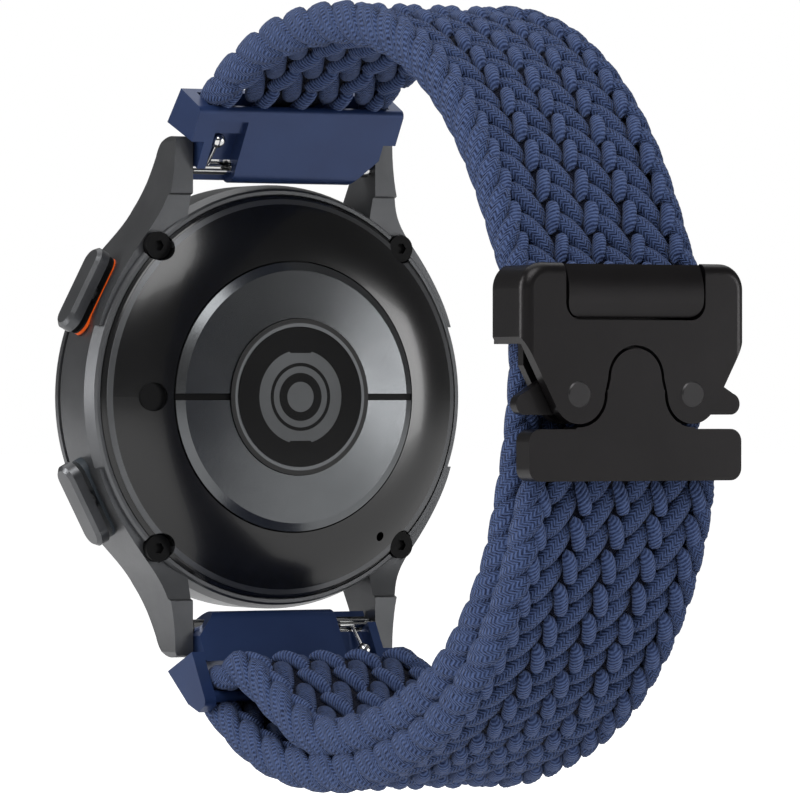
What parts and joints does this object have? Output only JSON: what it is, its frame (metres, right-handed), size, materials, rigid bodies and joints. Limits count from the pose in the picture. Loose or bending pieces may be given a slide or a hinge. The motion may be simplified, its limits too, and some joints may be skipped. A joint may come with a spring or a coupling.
{
  "type": "wrist fitness tracker with band",
  "caption": "Round wrist fitness tracker with optical sensor back, navy braided elastic band folded through an end link, and a black slide-in buckle with two release levers.",
  "frame": {"origin": "centre of the wrist opening, 30 mm behind the case's back rim plane on the case axis", "axes": "+Y from the display through the case back towards the buckle, +Z towards 12 o'clock, +X towards the button side"},
  "size_m": [0.0421, 0.073, 0.0719],
  "materials": {
    "case_metal": "dark grey anodised, fine satin",
    "display_glass": "black cover glass, polished",
    "display_black": "black panel",
    "cell": "foil pouch",
    "board": "solder-masked board",
    "motor_steel": "plain steel",
    "black_plastic": "black moulded",
    "copper": "enamelled winding",
    "seal_rubber": "soft seal",
    "cover_gloss": "glossy black",
    "electrode": "dark vapour-coated steel, satin",
    "window_glass": "dark glass",
    "optics": "smoked optical plastic",
    "orange_ring": "orange plastic",
    "grey_ring": "dark grey plastic",
    "spring_steel": "bright wire",
    "link_navy": "navy satin paint",
    "bar_chrome": "polished",
    "strap_weave": "navy braided elastic nylon",
    "buckle_black": "black satin coating",
    "rivet_black": "black coated steel"
  },
  "bodies": {
    "case": {"case_frame": "case_metal", "front_bezel": "case_metal", "display_glass": "display_glass", "display_panel": "display_black", "battery": "cell", "main_board": "board", "vibration_motor": "motor_steel", "speaker": "black_plastic", "sensor_board": "board", "charging_coil": "copper", "back_gasket": "seal_rubber", "back_cover": "cover_gloss", "cover_trim_ring": "case_metal", "cover_screws": "black_plastic", "electrode_frame": "black_plastic", "electrode_upper": "electrode", "electrode_lower": "electrode", "sensor_ring": "electrode", "sensor_window": "window_glass", "photodiode_ring": "optics", "led_ring": "optics", "led_lens": "optics", "pressure_port": "black_plastic", "upper_button_seat": "orange_ring", "lower_button_seat": "grey_ring", "button_springs": "spring_steel"},
    "upper_button": {"upper_button": "case_metal"},
    "lower_button": {"lower_button": "case_metal"},
    "upper_band": {"upper_link": "link_navy", "upper_bar_tube": "bar_chrome", "upper_bar_tip": "bar_chrome", "upper_bar_spring": "spring_steel", "upper_strap": "strap_weave", "buckle_front_plate": "buckle_black", "buckle_back_plate": "buckle_black", "buckle_keeper": "buckle_black", "clamp_bar": "buckle_black", "anchor_pin": "rivet_black", "lever_rivets": "rivet_black", "lever_spring": "spring_steel"},
    "upper_release": {"upper_plunger": "bar_chrome"},
    "lower_band": {"lower_link": "link_navy", "lower_bar_tube": "bar_chrome", "lower_bar_tip": "bar_chrome", "lower_bar_spring": "spring_steel", "lower_strap": "strap_weave", "buckle_tongue": "buckle_black", "tongue_clamp_plate": "buckle_black", "tongue_screws": "rivet_black"},
    "lower_release": {"lower_plunger": "bar_chrome"},
    "button_side_lever": {"button_side_lever": "buckle_black"},
    "far_side_lever": {"far_side_lever": "buckle_black"}
  },
  "joints": [
    {"name": "lower_band_swing", "type": "hinge", "parent": "case", "child": "lower_band", "pos_m": [0, -0.0303, -0.022], "axis": [-1, 0, 0], "range_deg": [0, 45]},
    {"name": "upper_band_swing", "type": "hinge", "parent": "case", "child": "upper_band", "pos_m": [0, -0.0303, 0.022], "axis": [1, 0, 0], "range_deg": [0, 45]},
    {"name": "upper_button_press", "type": "slide", "parent": "case", "child": "upper_button", "axis": [-0.8829, 0, -0.4695], "range_m": [0, 0.0005], "stiffness_N_per_m": 600},
    {"name": "lower_button_press", "type": "slide", "parent": "case", "child": "lower_button", "axis": [-0.8829, 0, 0.4695], "range_m": [0, 0.0005], "stiffness_N_per_m": 600},
    {"name": "upper_bar_release", "type": "slide", "parent": "upper_band", "child": "upper_release", "axis": [-1, 0, 0], "range_m": [0, 0.0015], "stiffness_N_per_m": 300},
    {"name": "lower_bar_release", "type": "slide", "parent": "lower_band", "child": "lower_release", "axis": [1, 0, 0], "range_m": [0, 0.0015], "stiffness_N_per_m": 300},
    {"name": "button_side_lever_turn", "type": "hinge", "parent": "upper_band", "child": "button_side_lever", "pos_m": [0.00585, 0.0327, 0.0002], "axis": [0, -1, 0], "range_deg": [-8, 8], "stiffness_Nm_per_rad": 0.02},
    {"name": "far_side_lever_turn", "type": "hinge", "parent": "upper_band", "child": "far_side_lever", "pos_m": [-0.00585, 0.0327, 0.0002], "axis": [0, 1, 0], "range_deg": [-8, 8], "stiffness_Nm_per_rad": 0.02}
  ],
  "couplings": [
    {"joint": "upper_band_swing", "follows": "lower_band_swing", "ratio": 1}
  ]
}
